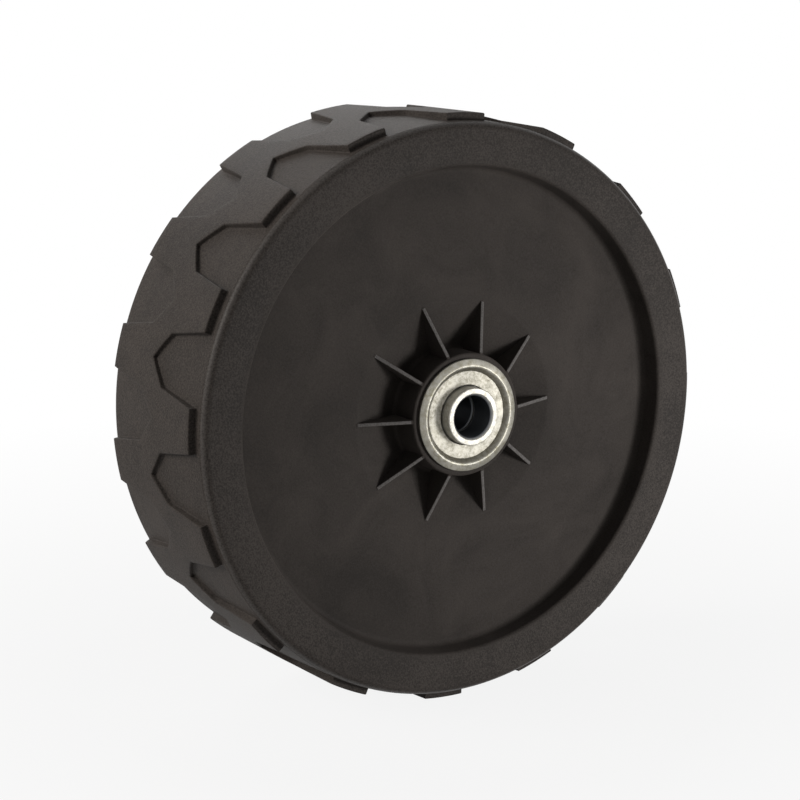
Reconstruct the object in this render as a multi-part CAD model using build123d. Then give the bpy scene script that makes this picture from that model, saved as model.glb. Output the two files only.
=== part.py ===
"""Moulded mower wheel with a lugged tread and a flanged ball bearing pressed into each end of its hub.

Millimetres. The wheel turns about Y, its closed face looks along -Y, and the origin is its centre.
"""
import math
import os

from build123d import *

# Tread
TREAD_DIAMETER = 177.8
RIM_WIDTH = 58.2
LUG_HEIGHT = 2.45
SHOULDER_LEDGE = 4.2
SHOULDER_ROUND = 2.6
LUG_EDGE_ROUND = 0.7
TREAD_WALL = 4.2
POCKET_COUNT = 16
POCKET_PHASE = 13.6
POCKET_LENGTH = 26.2
POCKET_POINT = 7.7
POCKET_MOUTH = 21.7
POCKET_WAIST = 15.7
FLOOR_RISE = 1.15

# Disc between the tread and the hub
ANNULUS_WIDTH = 12.8
RECESS_DEPTH = 6.5
WALL_DRAFT = 1.0
DISC_RISE = 2.3
DISH_WIDTH = 15.6
DISH_DEPTH = 3.9
DISH_EDGE_ROUND = 3.5
DISC_WALL = 3.5
EDGE_ROUND = 1.2
FOOT_ROUND = 2.0

# Hub and its stiffening plates
HUB_WALL = 4.3
HUB_OVERHANG = 2.1
HUB_SHOULDER = 3.3
GUSSET_COUNT = 10
GUSSET_PHASE = -19.0
GUSSET_THICKNESS = 1.2
GUSSET_TOP_DROP = 0.2
REAR_RIB_THICKNESS = 2.4
REAR_RIB_SETBACK = 6.0

# Flanged ball bearing
AXLE_DIAMETER = 12.7
BARREL_DIAMETER = 28.575
FLANGE_OVERHANG = 2.65
FLANGE_EDGE = 1.0
CREST_HEIGHT = 1.7
CREST_OFFSET = 0.25
CREST_ROUND = 1.0
INNER_RACE_WALL = 2.3
INNER_RACE_REACH = 4.0
BORE_CHAMFER = 0.7
RACE_CHAMFER = 0.35
GROOVE_WALL = 1.5075
SHIELD_THICKNESS = 0.5
SHIELD_SINK = 0.2
SHIELD_SEAT_WALL = 1.0

# Fits
BALL_CLEARANCE = 0.08
BALL_SPACING = 0.2
BALL_END_GAP = 0.42
SEAT_CLEARANCE = 0.02
SEAT_RELIEF = 0.3
SHIELD_GAP = 0.4
EMBED = 0.8

tread_r = TREAD_DIAMETER / 2
floor_r = tread_r - LUG_HEIGHT
front_y = -RIM_WIDTH / 2
back_y = RIM_WIDTH / 2
band_half = RIM_WIDTH / 2 - SHOULDER_LEDGE

recess_r = floor_r - ANNULUS_WIDTH
recess_foot_r = recess_r - WALL_DRAFT
disc_outer_y = front_y + RECESS_DEPTH
disc_inner_y = disc_outer_y - DISC_RISE

axle_r = AXLE_DIAMETER / 2
barrel_r = BARREL_DIAMETER / 2
inner_race_r = axle_r + INNER_RACE_WALL
pitch_r = (axle_r + barrel_r) / 2
outer_land_r = 2 * pitch_r - inner_race_r
ball_r = (barrel_r - axle_r) / 2 - GROOVE_WALL - BALL_CLEARANCE
barrel_length = 2 * (ball_r + BALL_END_GAP + SHIELD_THICKNESS) - SHIELD_SINK
shield_r = barrel_r - SHIELD_SEAT_WALL

hub_r = barrel_r + HUB_WALL
hub_half = RIM_WIDTH / 2 + HUB_OVERHANG
hub_bore_r = barrel_r - HUB_SHOULDER
dish_r = hub_r + DISH_WIDTH
dish_y = disc_inner_y + DISH_DEPTH


def rounded_section(corners):
    """Closed section through (radius, y, rounding) corners."""
    section = Sketch() + make_face(Polyline(*[(r, y) for r, y, _ in corners], close=True))
    for r, y, rounding in corners:
        if rounding:
            corner = section.vertices().sort_by_distance((r, y, 0))[0]
            section = fillet(corner, rounding)
    return section


def turned(section):
    """A section in radius and y, turned about the wheel's axis."""
    return revolve(section, axis=Axis.Y)


def clocked(piece, angle):
    """A piece made at the top of the wheel, turned to a clock angle from +Z towards +X."""
    return Rot(0, angle, 0) * piece


def ring_of(piece, count, phase):
    """Evenly spaced copies of a piece made at the top of the wheel."""
    return [clocked(piece, phase + index * 360 / count) for index in range(count)]


def radial_plate(corners, thickness):
    """A flat plate through (radius, y) corners, standing in the radial plane at the top of the wheel."""
    upright = Plane(origin=(0, 0, 0), x_dir=(0, 0, 1), z_dir=(-1, 0, 0))
    outline = upright * make_face(Polyline(*corners, close=True))
    return extrude(outline, amount=thickness / 2, both=True)


def wheel_core():
    """Rim, disc and hub, open at the back. The pocket floors rise to the middle of the rim."""
    rim_inner_r = floor_r - TREAD_WALL
    seat_r = barrel_r + SEAT_CLEARANCE
    seat_end = hub_half - barrel_length - SEAT_RELIEF
    corners = [
        (seat_r, -hub_half, 0),
        (hub_r, -hub_half, LUG_EDGE_ROUND),
        (hub_r, dish_y, EDGE_ROUND),
        (dish_r, disc_inner_y, DISH_EDGE_ROUND),
        (recess_foot_r, disc_outer_y, FOOT_ROUND),
        (recess_r, front_y, EDGE_ROUND),
        (floor_r, front_y, SHOULDER_ROUND),
        (floor_r + FLOOR_RISE, 0, 0),
        (floor_r, back_y, SHOULDER_ROUND),
        (rim_inner_r, back_y, EDGE_ROUND),
        (rim_inner_r - WALL_DRAFT, front_y + DISC_WALL, EDGE_ROUND),
        (recess_r + DISC_WALL, front_y + DISC_WALL, EDGE_ROUND),
        (recess_foot_r + DISC_WALL, disc_outer_y + DISC_WALL, EDGE_ROUND),
        (dish_r, disc_inner_y + DISC_WALL, DISH_EDGE_ROUND),
        (hub_r, dish_y + DISC_WALL, EDGE_ROUND),
        (hub_r, hub_half, LUG_EDGE_ROUND),
        (seat_r, hub_half, 0),
        (seat_r, seat_end, 0),
        (hub_bore_r, seat_end, 0),
        (hub_bore_r, -seat_end, 0),
        (seat_r, -seat_end, 0),
    ]
    return turned(rounded_section(corners))


def tread_pocket():
    """Cutter for one shield-shaped pocket at the top of the wheel, open to the rear shoulder."""
    run_out = LUG_HEIGHT + EMBED
    tip_y = band_half - POCKET_LENGTH
    waist_y = tip_y + POCKET_POINT
    flare = (POCKET_MOUTH - POCKET_WAIST) / 2 / (band_half - waist_y)
    mouth_half = POCKET_MOUTH / 2 + flare * run_out
    outline = Polyline(
        (-mouth_half, band_half + run_out),
        (mouth_half, band_half + run_out),
        (POCKET_WAIST / 2, waist_y),
        (0, tip_y),
        (-POCKET_WAIST / 2, waist_y),
        close=True,
    )
    above_tread = Plane(origin=(0, 0, tread_r + EMBED), x_dir=(-1, 0, 0), z_dir=(0, 0, -1))
    return extrude(above_tread * make_face(outline), amount=LUG_HEIGHT + 4 * EMBED)


def lug_band():
    """Raised tread band with a row of pockets from each shoulder, half a pitch apart."""
    band = turned(rounded_section([
        (floor_r - EMBED, -band_half, 0),
        (tread_r, -band_half, LUG_EDGE_ROUND),
        (tread_r, band_half, LUG_EDGE_ROUND),
        (floor_r - EMBED, band_half, 0),
    ]))
    rear_pocket = tread_pocket()
    front_pocket = mirror(rear_pocket, about=Plane.XZ)
    half_pitch = 180 / POCKET_COUNT
    front_row = ring_of(front_pocket, POCKET_COUNT, POCKET_PHASE)
    rear_row = ring_of(rear_pocket, POCKET_COUNT, POCKET_PHASE + half_pitch)
    return band - (front_row + rear_row)


def gussets():
    """Thin triangular plates from the hub's front end down to the edge of the dish."""
    root_r = hub_r - EMBED
    top_y = -hub_half + GUSSET_TOP_DROP
    plate = radial_plate([
        (root_r, top_y),
        (hub_r, top_y),
        (dish_r, disc_inner_y),
        (dish_r, disc_inner_y + EMBED),
        (root_r, dish_y + EMBED),
    ], GUSSET_THICKNESS)
    return ring_of(plate, GUSSET_COUNT, GUSSET_PHASE)


def rear_ribs():
    """Plates across the open back, from the hub to the tread wall, behind the front gussets."""
    root_r = hub_r - EMBED
    end_r = floor_r - TREAD_WALL + EMBED
    plate = radial_plate([
        (root_r, dish_y + EMBED),
        (dish_r, disc_inner_y + EMBED),
        (recess_foot_r, disc_outer_y + EMBED),
        (end_r, disc_outer_y + EMBED),
        (end_r, back_y - REAR_RIB_SETBACK),
        (hub_r, back_y),
        (root_r, back_y),
    ], REAR_RIB_THICKNESS)
    return ring_of(plate, GUSSET_COUNT, GUSSET_PHASE)


def wheel_body():
    """The one moulded piece: rim, tread, disc, hub and its plates."""
    return wheel_core() + [lug_band()] + gussets() + rear_ribs()


def axial(side, reach):
    """Y of a point that lies a reach outside the hub's end face, on the front (-1) or the rear (1)."""
    return side * (hub_half + reach)


def groove(side):
    """Ring that leaves a ball groove in both races."""
    centre = Pos(pitch_r, axial(side, ball_reach()))
    return turned(centre * Circle(ball_r + BALL_CLEARANCE))


def shield_seat_ends():
    """Outboard and inboard ends of the race's narrow land, between the two shields."""
    outboard = SHIELD_SINK - SHIELD_THICKNESS
    inboard = SHIELD_THICKNESS - barrel_length
    return outboard, inboard


def ball_reach():
    """The balls run midway between the shields."""
    return sum(shield_seat_ends()) / 2


def outer_race(side):
    """Barrel pressed into the hub, with a flange that rises to a crest round the shield."""
    outboard, inboard = shield_seat_ends()
    seat_r = shield_r + SEAT_CLEARANCE
    flange_r = barrel_r + FLANGE_OVERHANG
    corners = [
        (barrel_r, -barrel_length, RACE_CHAMFER),
        (barrel_r, 0, 0),
        (flange_r, 0, RACE_CHAMFER),
        (flange_r, FLANGE_EDGE, RACE_CHAMFER),
        (barrel_r + CREST_OFFSET, CREST_HEIGHT, CREST_ROUND),
        (seat_r, SHIELD_SINK, 0),
        (seat_r, outboard, 0),
        (outer_land_r, outboard, 0),
        (outer_land_r, inboard, 0),
        (seat_r, inboard, 0),
        (seat_r, -barrel_length, 0),
    ]
    placed = [(r, axial(side, reach), rounding) for r, reach, rounding in corners]
    return turned(rounded_section(placed)) - groove(side)


def inner_race(side):
    """Race on the axle, standing out past the shield, with a bevelled bore."""
    corners = [
        (axle_r + BORE_CHAMFER, INNER_RACE_REACH),
        (inner_race_r - RACE_CHAMFER, INNER_RACE_REACH),
        (inner_race_r, INNER_RACE_REACH - RACE_CHAMFER),
        (inner_race_r, -barrel_length),
        (axle_r + RACE_CHAMFER, -barrel_length),
        (axle_r, RACE_CHAMFER - barrel_length),
        (axle_r, INNER_RACE_REACH - BORE_CHAMFER),
    ]
    placed = [(r, axial(side, reach), 0) for r, reach in corners]
    return turned(rounded_section(placed)) - groove(side)


def shield(side, outer_face):
    """Flat ring closing the bearing, seated in the outer race and clear of the inner one."""
    inner_face = outer_face - SHIELD_THICKNESS
    corners = [
        (inner_race_r + SHIELD_GAP, inner_face),
        (shield_r, inner_face),
        (shield_r, outer_face),
        (inner_race_r + SHIELD_GAP, outer_face),
    ]
    return turned(rounded_section([(r, axial(side, reach), 0) for r, reach in corners]))


def balls(side):
    """Full ring of loose balls between the races."""
    count = int(2 * math.pi * pitch_r / (2 * ball_r + BALL_SPACING))
    top_ball = Pos(0, axial(side, ball_reach()), pitch_r) * Sphere(ball_r)
    return Compound(children=ring_of(top_ball, count, 0))


def spacer_sleeve():
    """Tube on the axle that keeps the two inner races apart."""
    half = hub_half - barrel_length
    corners = [
        (axle_r + RACE_CHAMFER, -half),
        (inner_race_r, -half),
        (inner_race_r, half),
        (axle_r + RACE_CHAMFER, half),
        (axle_r, half - RACE_CHAMFER),
        (axle_r, RACE_CHAMFER - half),
    ]
    return turned(rounded_section([(r, y, 0) for r, y in corners]))


def all_parts():
    """Every piece by node name."""
    _, inboard = shield_seat_ends()
    parts = {"wheel_body": wheel_body(), "spacer_sleeve": spacer_sleeve()}
    for name, side in (("front", -1), ("rear", 1)):
        parts[f"{name}_outer_race"] = outer_race(side)
        parts[f"{name}_inner_race"] = inner_race(side)
        parts[f"{name}_balls"] = balls(side)
        parts[f"{name}_outboard_shield"] = shield(side, SHIELD_SINK)
        parts[f"{name}_inboard_shield"] = shield(side, inboard)
    return parts


os.makedirs("parts", exist_ok=True)
for node, piece in all_parts().items():
    export_step(piece, f"parts/{node}.step")
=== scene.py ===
"""Looks of the moulded mower wheel: its grained plastic body, plated bearings, light and camera."""
import math

import bmesh
import bpy
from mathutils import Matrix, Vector
from mathutils.geometry import delaunay_2d_cdt


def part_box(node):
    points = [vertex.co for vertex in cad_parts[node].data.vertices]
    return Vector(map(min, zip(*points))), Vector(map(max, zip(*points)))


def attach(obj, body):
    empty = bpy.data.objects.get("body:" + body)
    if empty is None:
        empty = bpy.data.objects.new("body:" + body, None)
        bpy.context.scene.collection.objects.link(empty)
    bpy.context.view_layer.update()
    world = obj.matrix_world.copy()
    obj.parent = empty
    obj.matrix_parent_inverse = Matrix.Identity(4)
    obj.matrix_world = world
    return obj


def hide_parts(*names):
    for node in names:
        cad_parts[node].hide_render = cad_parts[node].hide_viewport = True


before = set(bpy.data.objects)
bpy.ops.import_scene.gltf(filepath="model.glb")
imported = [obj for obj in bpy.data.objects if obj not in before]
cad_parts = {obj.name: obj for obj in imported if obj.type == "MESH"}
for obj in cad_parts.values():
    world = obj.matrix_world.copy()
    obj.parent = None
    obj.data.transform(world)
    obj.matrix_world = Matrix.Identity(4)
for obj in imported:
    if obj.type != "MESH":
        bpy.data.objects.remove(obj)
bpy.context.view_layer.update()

MM = 0.001

# Sizes shared with the solids, in millimetres: tread, disc and hub
body_low, body_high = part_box("wheel_body")
TREAD_R = (body_high.x - body_low.x) / 2 / MM
HUB_HALF = (body_high.y - body_low.y) / 2 / MM
HUB_OVERHANG = 2.1
RIM_HALF = HUB_HALF - HUB_OVERHANG
LUG_HEIGHT = 2.45
SHOULDER_LEDGE = 4.2
SHOULDER_ROUND = 2.6
TREAD_WALL = 4.2
POCKET_COUNT = 16
POCKET_PHASE = 13.6
POCKET_LENGTH = 26.2
POCKET_POINT = 7.7
POCKET_MOUTH = 21.7
POCKET_WAIST = 15.7
FLOOR_RISE = 1.15
ANNULUS_WIDTH = 12.8
RECESS_DEPTH = 6.5
WALL_DRAFT = 1.0
DISC_RISE = 2.3
DISH_WIDTH = 15.6
DISH_DEPTH = 3.9
DISH_EDGE_ROUND = 3.5
DISC_WALL = 3.5
EDGE_ROUND = 1.2
FOOT_ROUND = 2.0
HUB_WALL = 4.3
HUB_SHOULDER = 3.3
GUSSET_COUNT = 10
GUSSET_PHASE = -19.0
GUSSET_THICKNESS = 1.2
GUSSET_TOP_DROP = 0.2
REAR_RIB_THICKNESS = 2.4
REAR_RIB_SETBACK = 6.0
EMBED = 0.8

# Sizes shared with the solids, in millimetres: bearings
race_low, race_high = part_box("front_inner_race")
outer_low, outer_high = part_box("front_outer_race")
AXLE_R = 6.35
BARREL_R = 14.2875
BARREL_LENGTH = HUB_HALF + outer_high.y / MM
FLANGE_R = (outer_high.x - outer_low.x) / 2 / MM
FLANGE_EDGE = 1.0
CREST_HEIGHT = 1.7
CREST_OFFSET = 0.25
CREST_ROUND = 1.0
INNER_RACE_R = (race_high.x - race_low.x) / 2 / MM
INNER_RACE_REACH = -race_low.y / MM - HUB_HALF
BORE_CHAMFER = 0.7
RACE_CHAMFER = 0.35
SHIELD_THICKNESS = 0.5
SHIELD_SINK = 0.2
SHIELD_SEAT_WALL = 1.0
SHIELD_GAP = 0.4
SEAT_CLEARANCE = 0.02
SEAT_RELIEF = 0.3

# Edge details that belong to the looks, in millimetres
HUB_EDGE_ROUND = 0.7
LUG_TOP_ROUND = 0.4
LUG_FOOT_ROUND = 0.35
WALL_LEAN = 0.06
GUSSET_EDGE_ROUND = 0.3
RIB_EDGE_ROUND = 0.5
SEAM_ROUND = 0.22
SHIELD_LIP_ROUND = 0.15
RACE_LIP_ROUND = 0.15
BEVEL_ROUND = 0.2
INNER_EDGE_ROUND = 1.4

# Softened edges of the plates, by the corner that each starts from
GUSSET_SOFT_EDGES = (0, 1)
RIB_SOFT_EDGES = (4, 5)

# Places that follow from these sizes
FLOOR_R = TREAD_R - LUG_HEIGHT
BAND_HALF = RIM_HALF - SHOULDER_LEDGE
STRIP_HALF = RIM_HALF - SHOULDER_ROUND
TIP_Y = BAND_HALF - POCKET_LENGTH
WAIST_Y = TIP_Y + POCKET_POINT
HALF_PITCH = math.pi / POCKET_COUNT
CELL_WIDTH = TREAD_R * HALF_PITCH
RECESS_R = FLOOR_R - ANNULUS_WIDTH
RECESS_FOOT_R = RECESS_R - WALL_DRAFT
DISC_OUTER_Y = -RIM_HALF + RECESS_DEPTH
DISC_INNER_Y = DISC_OUTER_Y - DISC_RISE
HUB_R = BARREL_R + HUB_WALL
DISH_R = HUB_R + DISH_WIDTH
DISH_Y = DISC_INNER_Y + DISH_DEPTH
GUSSET_TOP_Y = -HUB_HALF + GUSSET_TOP_DROP
SHIELD_R = BARREL_R - SHIELD_SEAT_WALL
INBOARD_FACE = SHIELD_THICKNESS - BARREL_LENGTH

# Mesh fineness. Lengths are in millimetres.
CELL_STEPS = 9
RIM_STEPS = 2 * POCKET_COUNT * CELL_STEPS
BEARING_STEPS = 128
LEVEL_STEPS = 4
PLATE_ROUND_STEPS = 2
ROUND_PROFILE = 0.5
ARC_STEP = math.radians(10)
LEAST_ARC_STEPS = 2
BODY_SHARP = math.radians(38)
RING_SHARP = math.radians(30)
GRID = 2.0
KEEP_CLEAR = 0.7
FLAT_TOLERANCE = 1e-6
SLIVER_AREA = 0.0001
TINY_EDGE = 0.006
WELD_METRES = 0.000002

# Plastic. A noise is (scale per metre, detail, roughness, distortion), and the last can be left out.
# A bump is (strength, height in metres).
GRAIN_NOISE = (1900.0, 2.0, 0.6)
GRAIN_BUMP = (0.8, 0.00013)
PIT_NOISE = (3600.0, 1.0, 0.5)
PIT_BUMP = (0.2, 0.0001)
FLOW_NOISE = (38.0, 4.0, 0.55, 0.8)
NOISE_MIDDLE = 0.5
SPECKLE_CONTRAST = 1.8
DISC_GRAIN = 0.3
PLASTIC_TONES = ((0.22, (0.0205, 0.0172, 0.0150)), (0.78, (0.0505, 0.0430, 0.0382)))
PLASTIC_SPECULAR = 0.12
DISC_ROUGHNESS = 0.68
RIM_ROUGHNESS = 0.60
FLOW_ROUGHNESS = 0.12
LIP_BLEND = 3.0

# Pale marks on the plastic's edges: scuffs on the gussets, and along the shoulders pale rubbing that is
# partly a painted highlight
PALE_WEAR_AND_HIGHLIGHT_COLOUR = (0.128, 0.120, 0.115)
SCUFF_DEPTH = 0.07
SCUFF_END = 0.4
PALE_MARK_GRAIN = (0.35, 0.60)
LEAST_PALE_MARK = 0.55
SHOULDER_BAND_DEPTHS = (1.9, 1.35, 0.9, 0.3)
# How pale the shoulder band is painted: partly rubbed wear, partly a painted highlight
SHOULDER_WEAR_AND_HIGHLIGHT = 0.50
RUB_SMOOTHING = -0.26

# Steel, with noises and bumps as above
CLOUD_NOISE = (170.0, 4.0, 0.6)
CLOUD_RANGE = (0.35, 0.70)
STAIN_NOISE = (620.0, 6.0, 0.75, 0.4)
STAIN_RANGE = (0.44, 0.68)
STAIN_COLOUR = (0.110, 0.098, 0.062)
# Painted shade on the bore: dark grey where the steel meets the axle, fading out by the bevel
BORE_SHADE_COLOUR = (0.110, 0.116, 0.125)
BORE_SHADE_START = 0.1
SPECK_NOISE = (2600.0, 2.0, 0.6)
SPECK_BUMP = (0.12, 0.00006)
SPECK_ROUGHNESS = 0.22
TURNED_SCALE = 5200.0
TURNED_DETAIL = 2.0
TURNED_BUMP = (0.10, 0.00004)

# Steel of each kind of piece: material name, two tones of the plating, roughness, strength of the stains
STEELS = {
    "outer_race": ("plated_race", ((0.17, 0.164, 0.145), (0.27, 0.258, 0.224)), 0.36, 0.85),
    "inner_race": ("ground_race", ((0.36, 0.349, 0.321), (0.44, 0.423, 0.384)), 0.44, 0.6),
    "shield": ("pressed_shield", ((0.40, 0.385, 0.341), (0.51, 0.488, 0.426)), 0.56, 0.78),
    "ball": ("polished_ball", ((0.70, 0.70, 0.70), (0.78, 0.78, 0.77)), 0.10, 0.0),
    "sleeve": ("drawn_sleeve", ((0.20, 0.20, 0.19), (0.26, 0.26, 0.24)), 0.36, 0.3),
}

# Stage. Lengths are in metres.
FLOOR_HALF = 3.0
FLOOR_DROP = 0.0004
FLOOR_NOISE = (3.0, 2.0, 0.5)
FLOOR_TONES = ((0.3, (0.40, 0.40, 0.40)), (0.7, (0.44, 0.44, 0.44)))
FLOOR_ROUGHNESS = 0.9
FLOOR_FADE = (0.10, 0.42)
FLOOR_WHITENESS = 0.88
WORLD_LEVEL = 0.04
WHITE = (1.0, 1.0, 1.0)
WARM_WHITE = (1.0, 0.95, 0.90)

# Lamps: name, azimuth and elevation in degrees, distance and size in metres, power in watts, colour
LAMPS = (
    ("key", 32, -5, 0.40, 0.10, 1.12, WHITE),
    ("rim", -106, 26, 1.5, 0.8, 19, WARM_WHITE),
    ("back", 165, 32, 1.6, 1.0, 9, WHITE),
)

# Camera, as found from the photo's circles
VIEW_AZIMUTH = -32.19
VIEW_ELEVATION = 11.23
VIEW_DISTANCE = 0.7175
LENS = 104.9
SENSOR = 36.0
SHIFT = (-0.0126, -0.0033)
CLIP_START = 0.01


# Meshes

def arc_corner(before, corner, after, rounding):
    """Points of a round that replaces one corner of an outline."""
    back = (Vector(before) - Vector(corner)).normalized()
    ahead = (Vector(after) - Vector(corner)).normalized()
    half = math.acos(max(-1.0, min(1.0, back.dot(ahead)))) / 2
    middle = Vector(corner) + (back + ahead).normalized() * (rounding / math.sin(half))
    start = Vector(corner) + back * (rounding / math.tan(half)) - middle
    end = Vector(corner) + ahead * (rounding / math.tan(half)) - middle
    sweep = start.angle_signed(end)
    steps = max(LEAST_ARC_STEPS, math.ceil(abs(sweep) / ARC_STEP))
    turn = [-sweep * step / steps for step in range(steps + 1)]
    return [middle + Vector((start.x * math.cos(a) - start.y * math.sin(a),
                             start.x * math.sin(a) + start.y * math.cos(a))) for a in turn]


def rounded_outline(corners, closed=True):
    """Points of an outline through (radius, y, rounding) corners."""
    points = []
    count = len(corners)
    for index, (r, y, rounding) in enumerate(corners):
        at_end = not closed and index in (0, count - 1)
        if rounding and not at_end:
            before = corners[index - 1][:2]
            after = corners[(index + 1) % count][:2]
            points += arc_corner(before, (r, y), after, rounding)
        else:
            points.append(Vector((r, y)))
    return points


def on_wheel(r, y, angle):
    """Point at a radius, y and clock angle from +Z towards +X, in metres."""
    return Vector((r * math.sin(angle), y, r * math.cos(angle))) * MM


def add_lathe(bm, outline, steps, phase=0.0, closed=True):
    """Turns an outline about the wheel's axis."""
    rings = []
    for step in range(steps):
        angle = phase + step * math.tau / steps
        rings.append([bm.verts.new(on_wheel(p.x, p.y, angle)) for p in outline])
    last = len(outline) if closed else len(outline) - 1
    for step in range(steps):
        here = rings[step]
        there = rings[(step + 1) % steps]
        for k in range(last):
            n = (k + 1) % len(outline)
            bm.faces.new((here[k], here[n], there[n], there[k]))


def shade(mesh, sharp_angle):
    """Smooth shading that keeps edges above an angle sharp."""
    mesh.shade_smooth()
    mesh.set_sharp_from_angle(angle=sharp_angle)


def mesh_object(name, bm, sharp_angle=BODY_SHARP):
    """A smooth-shaded object with outward faces, in the scene."""
    bmesh.ops.remove_doubles(bm, verts=bm.verts, dist=WELD_METRES)
    bmesh.ops.recalc_face_normals(bm, faces=bm.faces)
    mesh = bpy.data.meshes.new(name)
    bm.to_mesh(mesh)
    bm.free()
    shade(mesh, sharp_angle)
    obj = bpy.data.objects.new(name, mesh)
    bpy.context.scene.collection.objects.link(obj)
    return obj


# Tread. One half pitch is meshed flat, as x round the rim and y along the axle, and then wrapped.

def tread_height(y, on_top, offset=0.0):
    """Height above the pockets' mouths of a lug's top, or of a pocket's floor, which rises to the middle."""
    return offset + (LUG_HEIGHT if on_top else FLOOR_RISE * (1 - abs(y) / RIM_HALF))


def lug_levels():
    """(inset, whether on top, offset in height) from a lug's flat top down its wall to the pocket floor."""
    arc = [math.pi / 2 * step / LEVEL_STEPS for step in range(LEVEL_STEPS + 1)]
    upper = [(LUG_TOP_ROUND * (1 - math.sin(a)), True, -LUG_TOP_ROUND * (1 - math.cos(a))) for a in arc]
    lower = [(-WALL_LEAN - LUG_FOOT_ROUND * (1 - math.cos(a)), False, LUG_FOOT_ROUND * (1 - math.sin(a)))
             for a in arc]
    return upper + lower


def wall_lines():
    """(unit normal into the lug, offset) of a pocket's straight wall and of its pointed end."""
    mouth = Vector((POCKET_MOUTH / 2, -BAND_HALF))
    waist = Vector((POCKET_WAIST / 2, -WAIST_Y))
    tip = Vector((0, -TIP_Y))
    lines = []
    for start, end in ((mouth, waist), (waist, tip)):
        along = (end - start).normalized()
        normal = Vector((along.y, -along.x))
        lines.append((normal, normal.dot(start)))
    return lines


def crossing(line_a, line_b):
    """Point where two (normal, offset) lines meet."""
    (na, ca), (nb, cb) = line_a, line_b
    det = na.x * nb.y - na.y * nb.x
    return Vector(((ca * nb.y - cb * na.y) / det, (na.x * cb - nb.x * ca) / det))


def lug_edge(inset):
    """Lug edge at an inset, from the pocket's tip along its wall to the middle of the lug's end."""
    side, point = [(normal, offset + inset) for normal, offset in wall_lines()]
    axis = (Vector((1, 0)), 0.0)
    middle = (Vector((1, 0)), CELL_WIDTH)
    end = (Vector((0, 1)), -BAND_HALF + inset)
    return [crossing(point, axis), crossing(point, side), crossing(side, end), crossing(end, middle)]


def other_row(p):
    """The same place at a pocket of the other row, which starts from the other shoulder half a pitch on."""
    return Vector((CELL_WIDTH - p.x, -p.y))


def lug_inset(p):
    """How far a point lies inside a lug's edge, below zero over a pocket."""
    insets = [BAND_HALF - abs(p.y)]
    for q in (p, other_row(p)):
        insets.append(max(normal.dot(q) - offset for normal, offset in wall_lines()))
    return min(insets)


def chain(corners):
    """Points along straight lines through corners, about a grid step apart."""
    points = []
    for start, end in zip(corners, corners[1:]):
        steps = max(1, math.ceil((end - start).length / GRID))
        points += [start.lerp(end, step / steps) for step in range(steps)]
    return points + [corners[-1]]


def lug_outlines():
    """Points, heights and edges of both rows' lug edges, at each level of their walls."""
    points, heights, edges = [], [], []
    for inset, *level in lug_levels():
        edge = lug_edge(inset)
        for corners in (edge, [other_row(p) for p in edge]):
            run = chain(corners)
            first = len(points)
            edges += [(k, k + 1) for k in range(first, first + len(run) - 1)]
            points += run
            heights += [tread_height(p.y, *level) for p in run]
    return points, heights, edges


def open_grid():
    """Points and heights of a grid over lug tops and pocket floors, clear of the walls between them."""
    levels = lug_levels()
    top = levels[0][0] + KEEP_CLEAR
    bottom = levels[-1][0] - KEEP_CLEAR
    rows = round(2 * STRIP_HALF / GRID)
    points, heights = [], []
    for row in range(rows + 1):
        y = -STRIP_HALF + 2 * STRIP_HALF * row / rows
        for column in range(CELL_STEPS + 1):
            p = Vector((CELL_WIDTH * column / CELL_STEPS, y))
            inset = lug_inset(p)
            on_border = row in (0, rows)
            if on_border or inset > top or inset < bottom:
                points.append(p)
                heights.append(tread_height(y, inset > 0))
    return points, heights


def flat_area(a, b, c):
    """Area of a flat triangle."""
    return abs((b - a).cross(c - a)) / 2


def half_cell():
    """Triangles of half a tread pitch, flat, as (points with height, faces)."""
    points, heights, edges = lug_outlines()
    grid_points, grid_heights = open_grid()
    points += grid_points
    heights += grid_heights
    out, _, faces, sources, _, _ = delaunay_2d_cdt(points, edges, [], 0, FLAT_TOLERANCE)
    placed = [(p, heights[source[0]]) for p, source in zip(out, sources)]
    return placed, [face for face in faces if flat_area(*(out[k] for k in face)) > SLIVER_AREA]


def add_tread(bm):
    """Wraps the half pitch and its mirror image round the rim."""
    placed, faces = half_cell()
    phase = math.radians(POCKET_PHASE)
    for index in range(POCKET_COUNT):
        for flip in (1, -1):
            verts = []
            for p, height in placed:
                angle = phase + 2 * HALF_PITCH * index + flip * p.x / TREAD_R
                verts.append(bm.verts.new(on_wheel(FLOOR_R + height, p.y, angle)))
            for face in faces:
                bm.faces.new([verts[k] for k in face])


# Body

def edges_after(verts, starts):
    """Edges of a face from each of the corners named by index to the next corner."""
    found = []
    for k in starts:
        after = verts[(k + 1) % len(verts)]
        found += [edge for edge in verts[k].link_edges if edge.other_vert(verts[k]) is after]
    return found


def add_plate(bm, corners, thickness, angle, rounding, round_edges):
    """A flat plate standing in a radial plane, with the edges named by corner index softened."""
    turn = Vector((math.cos(angle), 0, -math.sin(angle))) * thickness / 2 * MM
    left = [bm.verts.new(on_wheel(r, y, angle) - turn) for r, y in corners]
    right = [bm.verts.new(on_wheel(r, y, angle) + turn) for r, y in corners]
    bm.faces.new(left)
    bm.faces.new(list(reversed(right)))
    for k in range(len(corners)):
        n = (k + 1) % len(corners)
        bm.faces.new((left[n], left[k], right[k], right[n]))
    soft = edges_after(left, round_edges) + edges_after(right, round_edges)
    bmesh.ops.bevel(bm, geom=soft, offset=rounding * MM, segments=PLATE_ROUND_STEPS, affect="EDGES",
                    profile=ROUND_PROFILE)


def gusset_corners():
    """(radius, y) corners of a front gusset, from its top round its sloping edge to its root."""
    root_r = HUB_R - EMBED
    return [
        (root_r, GUSSET_TOP_Y),
        (HUB_R, GUSSET_TOP_Y),
        (DISH_R, DISC_INNER_Y),
        (DISH_R, DISC_INNER_Y + EMBED),
        (root_r, DISH_Y + EMBED),
    ]


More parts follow.
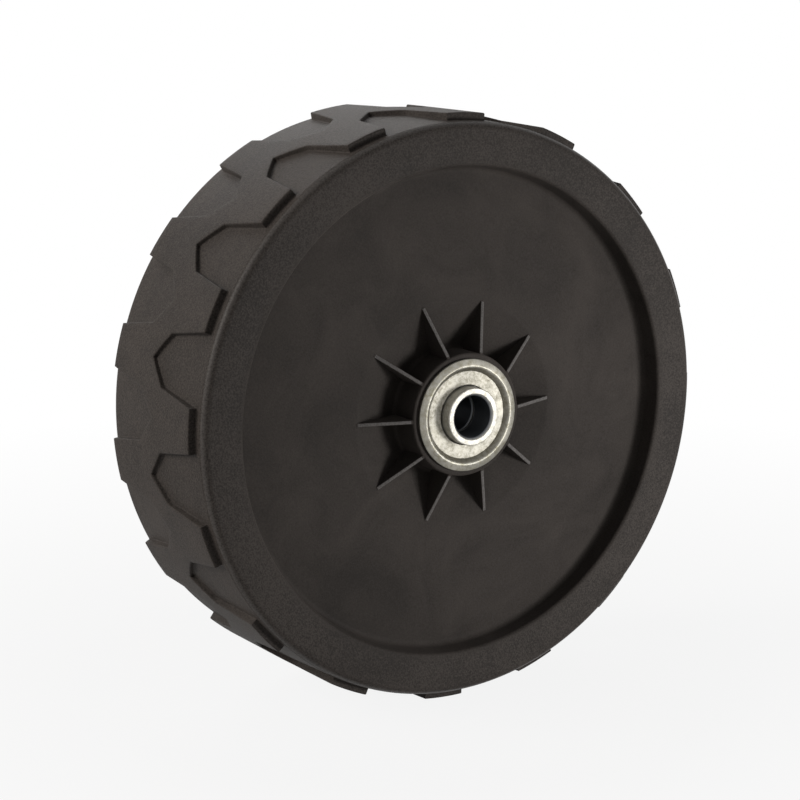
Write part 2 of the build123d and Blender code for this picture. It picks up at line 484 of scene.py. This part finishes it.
def rib_corners():
    """(radius, y) corners of a rear rib, along the disc to the tread wall and back over its rear edge."""
    root_r = HUB_R - EMBED
    end_r = FLOOR_R - TREAD_WALL + EMBED
    return [
        (root_r, DISH_Y + EMBED),
        (DISH_R, DISC_INNER_Y + EMBED),
        (RECESS_FOOT_R, DISC_OUTER_Y + EMBED),
        (end_r, DISC_OUTER_Y + EMBED),
        (end_r, RIM_HALF - REAR_RIB_SETBACK),
        (HUB_R, RIM_HALF),
        (root_r, RIM_HALF),
    ]


def plates_object():
    """Front gussets and rear ribs."""
    bm = bmesh.new()
    for index in range(GUSSET_COUNT):
        angle = math.radians(GUSSET_PHASE + index * 360 / GUSSET_COUNT)
        add_plate(bm, gusset_corners(), GUSSET_THICKNESS, angle, GUSSET_EDGE_ROUND, GUSSET_SOFT_EDGES)
        add_plate(bm, rib_corners(), REAR_RIB_THICKNESS, angle, RIB_EDGE_ROUND, RIB_SOFT_EDGES)
    return mesh_object("plates", bm)


def core_outline():
    """Open outline of rim, disc and hub, from the rear edge of the tread round to the front edge."""
    edge_r = FLOOR_R + tread_height(STRIP_HALF, False)
    rim_inner = FLOOR_R - TREAD_WALL
    seat_r = BARREL_R + SEAT_CLEARANCE
    seat_end = HUB_HALF - BARREL_LENGTH - SEAT_RELIEF
    corners = [
        (edge_r, STRIP_HALF, 0),
        (FLOOR_R, RIM_HALF, SHOULDER_ROUND),
        (rim_inner, RIM_HALF, EDGE_ROUND),
        (rim_inner - WALL_DRAFT, -RIM_HALF + DISC_WALL, EDGE_ROUND),
        (RECESS_R + DISC_WALL, -RIM_HALF + DISC_WALL, EDGE_ROUND),
        (RECESS_FOOT_R + DISC_WALL, DISC_OUTER_Y + DISC_WALL, EDGE_ROUND),
        (DISH_R, DISC_INNER_Y + DISC_WALL, DISH_EDGE_ROUND),
        (HUB_R, DISH_Y + DISC_WALL, EDGE_ROUND),
        (HUB_R, HUB_HALF, HUB_EDGE_ROUND),
        (seat_r, HUB_HALF, 0),
        (seat_r, seat_end, 0),
        (BARREL_R - HUB_SHOULDER, seat_end, 0),
        (BARREL_R - HUB_SHOULDER, -seat_end, 0),
        (seat_r, -seat_end, 0),
        (seat_r, -HUB_HALF, 0),
        (HUB_R, -HUB_HALF, HUB_EDGE_ROUND),
        (HUB_R, DISH_Y, EDGE_ROUND),
        (DISH_R, DISC_INNER_Y, DISH_EDGE_ROUND),
        (RECESS_FOOT_R, DISC_OUTER_Y, FOOT_ROUND),
        (RECESS_R, -RIM_HALF, EDGE_ROUND),
        (FLOOR_R, -RIM_HALF, SHOULDER_ROUND),
        (edge_r, -STRIP_HALF, 0),
    ]
    return rounded_outline(corners, closed=False)


def join_into(body, plates):
    """Makes the plates part of the body's mesh."""
    join = body.modifiers.new("plates", "BOOLEAN")
    join.operation = "UNION"
    join.solver = "EXACT"
    join.object = plates
    graph = bpy.context.evaluated_depsgraph_get()
    joined = bpy.data.meshes.new_from_object(body.evaluated_get(graph))
    body.modifiers.clear()
    body.data = joined
    bpy.data.objects.remove(plates)


def drop_tiny_edges(mesh):
    """Takes out the tiny edges and faces that a join leaves."""
    bm = bmesh.new()
    bm.from_mesh(mesh)
    bmesh.ops.remove_doubles(bm, verts=bm.verts, dist=TINY_EDGE * MM)
    bmesh.ops.dissolve_degenerate(bm, edges=bm.edges, dist=TINY_EDGE * MM)
    bm.to_mesh(mesh)
    bm.free()


def wheel_body():
    """The moulded body as one mesh."""
    bm = bmesh.new()
    add_tread(bm)
    add_lathe(bm, core_outline(), RIM_STEPS, math.radians(POCKET_PHASE), closed=False)
    body = mesh_object("wheel_shell", bm)
    join_into(body, plates_object())
    drop_tiny_edges(body.data)
    shade(body.data, BODY_SHARP)
    return body


# Bearings. Corners are (radius, reach outside the hub's end face, rounding).

def outer_race_corners():
    """Barrel pressed into the hub, with a flange that rises to a crest and seats for both shields."""
    seat_r = SHIELD_R + SEAT_CLEARANCE
    land_r = AXLE_R + BARREL_R - INNER_RACE_R
    return [
        (BARREL_R, -BARREL_LENGTH, RACE_CHAMFER),
        (BARREL_R, 0, 0),
        (FLANGE_R, 0, RACE_CHAMFER),
        (FLANGE_R, FLANGE_EDGE, RACE_CHAMFER),
        (BARREL_R + CREST_OFFSET, CREST_HEIGHT, CREST_ROUND),
        (seat_r, SHIELD_SINK, SEAM_ROUND),
        (seat_r, SHIELD_SINK - SHIELD_THICKNESS, 0),
        (land_r, SHIELD_SINK - SHIELD_THICKNESS, 0),
        (land_r, INBOARD_FACE, 0),
        (seat_r, INBOARD_FACE, 0),
        (seat_r, -BARREL_LENGTH, 0),
    ]


def inner_race_corners():
    """Race on the axle, with a bevelled bore at its outer end and a rounded one at its inner end."""
    return [
        (AXLE_R + BORE_CHAMFER, INNER_RACE_REACH, RACE_LIP_ROUND),
        (INNER_RACE_R, INNER_RACE_REACH, RACE_CHAMFER),
        (INNER_RACE_R, -BARREL_LENGTH, 0),
        (AXLE_R + INNER_EDGE_ROUND / 2, -BARREL_LENGTH, 0),
        (AXLE_R, INNER_EDGE_ROUND - BARREL_LENGTH, INNER_EDGE_ROUND),
        (AXLE_R, INNER_RACE_REACH - BORE_CHAMFER, BEVEL_ROUND),
    ]


def shield_corners(outer_face):
    """Flat ring between the races."""
    inner_r = INNER_RACE_R + SHIELD_GAP
    inner_face = outer_face - SHIELD_THICKNESS
    return [
        (inner_r, inner_face, 0),
        (SHIELD_R, inner_face, 0),
        (SHIELD_R, outer_face, SEAM_ROUND),
        (inner_r, outer_face, SHIELD_LIP_ROUND),
    ]


def turned_piece(name, corners, side):
    """A turned ring at the front (-1) or the rear (1) end of the hub."""
    bm = bmesh.new()
    placed = [(r, side * (HUB_HALF + reach), rounding) for r, reach, rounding in corners]
    add_lathe(bm, rounded_outline(placed), BEARING_STEPS)
    return mesh_object(name, bm, RING_SHARP)


# Materials

class ShaderGraph:
    """Short ways to add and link the shader nodes of one node tree."""

    def __init__(self, tree):
        self.nodes = tree.nodes
        self.links = tree.links

    def feed(self, socket, value):
        """Links an input to another node's output, or sets its own number or colour."""
        if isinstance(value, bpy.types.NodeSocket):
            self.links.new(value, socket)
        elif isinstance(value, tuple):
            socket.default_value = (*value, 1.0)
        else:
            socket.default_value = value

    def fill(self, node, settings):
        """Feeds a node's inputs, given by name."""
        for name, value in settings.items():
            self.feed(node.inputs[name], value)

    def coords(self):
        """Position in the object's own frame, in metres."""
        return self.nodes.new("ShaderNodeTexCoord").outputs["Object"]

    def component(self, vector, axis):
        """One component of a vector."""
        node = self.nodes.new("ShaderNodeSeparateXYZ")
        self.fill(node, {"Vector": vector})
        return node.outputs[axis]

    def maths(self, operation, *values):
        """A maths node on outputs or numbers."""
        node = self.nodes.new("ShaderNodeMath")
        node.operation = operation
        for socket, value in zip(node.inputs, values):
            self.feed(socket, value)
        return node.outputs["Value"]

    def radius(self, coords):
        """Distance from the wheel's axis, in metres."""
        sides = [self.component(coords, axis) for axis in "XZ"]
        squares = [self.maths("MULTIPLY", side, side) for side in sides]
        return self.maths("SQRT", self.maths("ADD", *squares))

    def map_range(self, value, low, high, to_low=0.0, to_high=1.0):
        """A value taken from one range to another, held at its ends."""
        node = self.nodes.new("ShaderNodeMapRange")
        self.fill(node, {"Value": value, "From Min": low, "From Max": high, "To Min": to_low,
                         "To Max": to_high})
        return node.outputs["Result"]

    def mix_colour(self, factor, a, b):
        """Mix of two colours, each an output or a triple, by a factor."""
        node = self.nodes.new("ShaderNodeMix")
        node.data_type = "RGBA"
        self.fill(node, {"Factor": factor, "A": a, "B": b})
        return node.outputs["Result"]

    def ramp(self, value, stops):
        """Colour between two (position, colour) stops."""
        node = self.nodes.new("ShaderNodeValToRGB")
        for element, (position, colour) in zip(node.color_ramp.elements, stops):
            element.position = position
            element.color = (*colour, 1.0)
        self.fill(node, {"Fac": value})
        return node.outputs["Color"]

    def noise(self, coords, scale, detail, roughness, distortion=0.0):
        """Noise factor at a scale per metre."""
        node = self.nodes.new("ShaderNodeTexNoise")
        self.fill(node, {"Vector": coords, "Scale": scale, "Detail": detail, "Roughness": roughness,
                         "Distortion": distortion})
        return node.outputs["Fac"]

    def turning_marks(self, radius):
        """Noise that changes with the radius alone."""
        node = self.nodes.new("ShaderNodeTexNoise")
        node.noise_dimensions = "1D"
        self.fill(node, {"W": radius, "Scale": TURNED_SCALE, "Detail": TURNED_DETAIL})
        return node.outputs["Fac"]

    def bump(self, height, strength, distance, under=None):
        """Normal of a bump, on top of another bump's normal."""
        node = self.nodes.new("ShaderNodeBump")
        self.fill(node, {"Height": height, "Strength": strength, "Distance": distance})
        if under:
            self.fill(node, {"Normal": under})
        return node.outputs["Normal"]

    def seen_rays(self):
        """1 for the rays by which the camera, a mirror or glass sees a surface, and 0 for rays of light."""
        path = self.nodes.new("ShaderNodeLightPath").outputs
        direct = self.maths("MAXIMUM", path["Is Camera Ray"], path["Is Transmission Ray"])
        return self.maths("MAXIMUM", direct, path["Is Glossy Ray"])


def new_material(name):
    """A node material, its graph and its principled shader."""
    material = bpy.data.materials.new(name)
    material.use_nodes = True
    return material, ShaderGraph(material.node_tree), material.node_tree.nodes["Principled BSDF"]


def across_lip(graph, radius, on_disc, on_rim):
    """A level that goes over from the disc's to the rim's across the lip of the recess."""
    return graph.map_range(radius, RECESS_FOOT_R * MM, (RECESS_R + LIP_BLEND) * MM, on_disc, on_rim)


def gusset_edge(graph, coords, radius):
    """1 on the sloping front edges of the gussets, where the plastic is scuffed pale, and 0 elsewhere."""
    slope = graph.map_range(radius, HUB_R * MM, DISH_R * MM, GUSSET_TOP_Y * MM, DISC_INNER_Y * MM)
    near = graph.maths("COMPARE", graph.component(coords, "Y"), slope, SCUFF_DEPTH * MM)
    outside_hub = graph.maths("GREATER_THAN", radius, (HUB_R + SCUFF_END) * MM)
    inside_dish = graph.maths("LESS_THAN", radius, (DISH_R - SCUFF_END) * MM)
    return graph.maths("MULTIPLY", near, graph.maths("MULTIPLY", outside_hub, inside_dish))


def shoulder_wear_and_highlight(graph, coords, radius):
    """Rises to 1 along the middle of the rounded shoulders, which rub smooth and carry a painted highlight,
    and is 0 elsewhere.
    """
    reach = graph.maths("ABSOLUTE", graph.component(coords, "Y"))
    start, full, fade, end = ((RIM_HALF - depth) * MM for depth in SHOULDER_BAND_DEPTHS)
    rise = graph.map_range(reach, start, full)
    fall = graph.map_range(reach, fade, end, 1.0, 0.0)
    at_rim = graph.maths("GREATER_THAN", radius, (FLOOR_R - SHOULDER_ROUND) * MM)
    return graph.maths("MULTIPLY", graph.maths("MULTIPLY", rise, fall), at_rim)


def plastic_colour(graph, grain, flow, rim):
    """Brown-black with cloudy flow marks and a fine speckle, which is strongest on the rim."""
    speckle = graph.maths("MULTIPLY", graph.maths("SUBTRACT", grain, NOISE_MIDDLE), SPECKLE_CONTRAST)
    return graph.ramp(graph.maths("MULTIPLY_ADD", speckle, rim, flow), PLASTIC_TONES)


def wear_and_highlight(graph, grain, shoulder_band, scuffed):
    """How pale the edges are painted, in specks that follow the grain: scuffs on the gussets, and along the
    shoulders rubbing with a painted highlight.
    """
    edges = graph.maths("MULTIPLY_ADD", shoulder_band, SHOULDER_WEAR_AND_HIGHLIGHT, scuffed)
    return graph.maths("MULTIPLY", edges, graph.map_range(grain, *PALE_MARK_GRAIN, LEAST_PALE_MARK))


def plastic_roughness(graph, radius, flow, shoulder_band):
    """Rougher on the disc than on the rim, uneven with the flow marks, and smooth along the shoulders where
    they rub.
    """
    finish = across_lip(graph, radius, DISC_ROUGHNESS, RIM_ROUGHNESS)
    uneven = graph.maths("MULTIPLY_ADD", flow, FLOW_ROUGHNESS, finish)
    return graph.maths("MULTIPLY_ADD", shoulder_band, RUB_SMOOTHING, uneven)


def plastic_normal(graph, coords, grain, rim):
    """Grain over finer pits."""
    pits = graph.bump(graph.noise(coords, *PIT_NOISE), *PIT_BUMP)
    return graph.bump(graph.maths("MULTIPLY", grain, rim), *GRAIN_BUMP, under=pits)


def grained_plastic():
    """Dark brown-black moulded plastic: grained on the rim, smoother with flow marks on the disc."""
    material, graph, shader = new_material("grained_plastic")
    coords = graph.coords()
    radius = graph.radius(coords)
    rim = across_lip(graph, radius, DISC_GRAIN, 1.0)
    grain = graph.noise(coords, *GRAIN_NOISE)
    flow = graph.noise(coords, *FLOW_NOISE)
    # The shoulder band is partly rubbed wear and partly a painted highlight on the base colour.
    shoulder_band = shoulder_wear_and_highlight(graph, coords, radius)
    pale_wear_and_highlight = wear_and_highlight(graph, grain, shoulder_band, gusset_edge(graph, coords, radius))
    graph.fill(shader, {
        "Base Color": graph.mix_colour(pale_wear_and_highlight, plastic_colour(graph, grain, flow, rim), PALE_WEAR_AND_HIGHLIGHT_COLOUR),
        "Roughness": plastic_roughness(graph, radius, flow, shoulder_band),
        "Normal": plastic_normal(graph, coords, grain, rim),
        "Specular IOR Level": PLASTIC_SPECULAR,
    })
    return material


def steel_colour(graph, coords, radius, tones, stain_level):
    """Plating that clouds from one tone to another, with olive stains, and painted shade inside the bore."""
    plating = graph.ramp(graph.noise(coords, *CLOUD_NOISE), zip(CLOUD_RANGE, tones))
    stain = graph.map_range(graph.noise(coords, *STAIN_NOISE), *STAIN_RANGE, 0.0, stain_level)
    stained = graph.mix_colour(stain, plating, STAIN_COLOUR)
    outside = graph.map_range(radius, (AXLE_R + BORE_SHADE_START) * MM, (AXLE_R + BORE_CHAMFER) * MM)
    return graph.mix_colour(outside, BORE_SHADE_COLOUR, stained)


def plated_steel(name, tones, base_roughness, stain_level):
    """Plated or polished steel with fine turning marks and specks."""
    material, graph, shader = new_material(name)
    coords = graph.coords()
    radius = graph.radius(coords)
    speck = graph.noise(coords, *SPECK_NOISE)
    marks = graph.bump(graph.turning_marks(radius), *TURNED_BUMP)
    graph.fill(shader, {
        "Base Color": steel_colour(graph, coords, radius, tones, stain_level),
        "Roughness": graph.maths("MULTIPLY_ADD", speck, SPECK_ROUGHNESS, base_roughness),
        "Normal": graph.bump(speck, *SPECK_BUMP, under=marks),
        "Metallic": 1.0,
    })
    return material


def paper_white():
    """Pale floor that keeps a faint shadow near the wheel and fades to plain white around it."""
    material, graph, shader = new_material("paper_white")
    coords = graph.coords()
    mottle = graph.ramp(graph.noise(coords, *FLOOR_NOISE), FLOOR_TONES)
    graph.fill(shader, {"Base Color": mottle, "Roughness": FLOOR_ROUGHNESS})
    away = graph.nodes.new("ShaderNodeVectorMath")
    away.operation = "LENGTH"
    graph.feed(away.inputs[0], coords)
    fade = graph.map_range(away.outputs["Value"], *FLOOR_FADE, FLOOR_WHITENESS)
    white = graph.nodes.new("ShaderNodeEmission")
    mix = graph.nodes.new("ShaderNodeMixShader")
    graph.feed(mix.inputs["Fac"], graph.maths("MULTIPLY", graph.seen_rays(), fade))
    graph.feed(mix.inputs[1], shader.outputs["BSDF"])
    graph.feed(mix.inputs[2], white.outputs["Emission"])
    graph.fill(graph.nodes["Material Output"], {"Surface": mix.outputs["Shader"]})
    return material


# Stage

def floor():
    """A pale floor just under the tread, with its own origin below the wheel."""
    bm = bmesh.new()
    corners = ((-1, -1), (1, -1), (1, 1), (-1, 1))
    bm.faces.new([bm.verts.new((x * FLOOR_HALF, y * FLOOR_HALF, 0)) for x, y in corners])
    sheet = mesh_object("floor", bm)
    sheet.location.z = -TREAD_R * MM - FLOOR_DROP
    sheet.data.materials.append(paper_white())


def aim(obj, azimuth, elevation, distance):
    """Places an object by degrees from the front (-Y) towards +X and up, turned to the wheel's centre."""
    azimuth = math.radians(azimuth)
    elevation = math.radians(elevation)
    flat = math.cos(elevation) * distance
    obj.location = (math.sin(azimuth) * flat, -math.cos(azimuth) * flat, math.sin(elevation) * distance)
    obj.rotation_euler = (-obj.location).to_track_quat("-Z", "Y").to_euler()
    bpy.context.scene.collection.objects.link(obj)


def area_light(name, azimuth, elevation, distance, size, power, colour):
    """A square soft light that the camera doesn't see."""
    lamp = bpy.data.lights.new(name, "AREA")
    lamp.shape = "SQUARE"
    lamp.size = size
    lamp.energy = power
    lamp.color = colour
    obj = bpy.data.objects.new(name, lamp)
    obj.visible_camera = False
    aim(obj, azimuth, elevation, distance)


def world_light():
    """White to the camera and to reflections, dim as a light."""
    world = bpy.data.worlds.new("studio")
    world.use_nodes = True
    graph = ShaderGraph(world.node_tree)
    level = graph.maths("MULTIPLY_ADD", graph.seen_rays(), 1.0 - WORLD_LEVEL, WORLD_LEVEL)
    graph.fill(graph.nodes["Background"], {"Color": WHITE, "Strength": level})
    bpy.context.scene.world = world


def camera():
    """Camera at the photo's angle."""
    data = bpy.data.cameras.new("camera")
    data.lens = LENS
    data.sensor_width = SENSOR
    data.shift_x, data.shift_y = SHIFT
    data.clip_start = CLIP_START
    obj = bpy.data.objects.new("camera", data)
    aim(obj, VIEW_AZIMUTH, VIEW_ELEVATION, VIEW_DISTANCE)
    bpy.context.scene.camera = obj


# Assembly

def paint(piece, material):
    """Gives a piece one material, in place of any that it has."""
    piece.data.materials.clear()
    piece.data.materials.append(material)


def dress(piece, node, body, material):
    """Puts a piece in place of a node, on its body, with its material."""
    paint(piece, material)
    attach(piece, body)
    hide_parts(node)


def dress_bearing(name, side, metal):
    """Races and shields of one bearing."""
    rings = (
        ("outer_race", "turned", "wheel", "outer_race", outer_race_corners()),
        ("inner_race", "turned", "axle_set", "inner_race", inner_race_corners()),
        ("outboard_shield", "pressed", "wheel", "shield", shield_corners(SHIELD_SINK)),
        ("inboard_shield", "pressed", "wheel", "shield", shield_corners(INBOARD_FACE)),
    )
    for part, made, body, steel, corners in rings:
        piece = turned_piece(f"{name}_{part}_{made}", corners, side)
        dress(piece, f"{name}_{part}", body, metal[steel])


steels = {kind: plated_steel(*values) for kind, values in STEELS.items()}
dress(wheel_body(), "wheel_body", "wheel", grained_plastic())
for bearing, end in (("front", -1), ("rear", 1)):
    dress_bearing(bearing, end, steels)
    paint(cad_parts[f"{bearing}_balls"], steels["ball"])
paint(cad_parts["spacer_sleeve"], steels["sleeve"])

floor()
for values in LAMPS:
    area_light(*values)
world_light()
camera()
bpy.context.scene.view_settings.view_transform = "Standard"
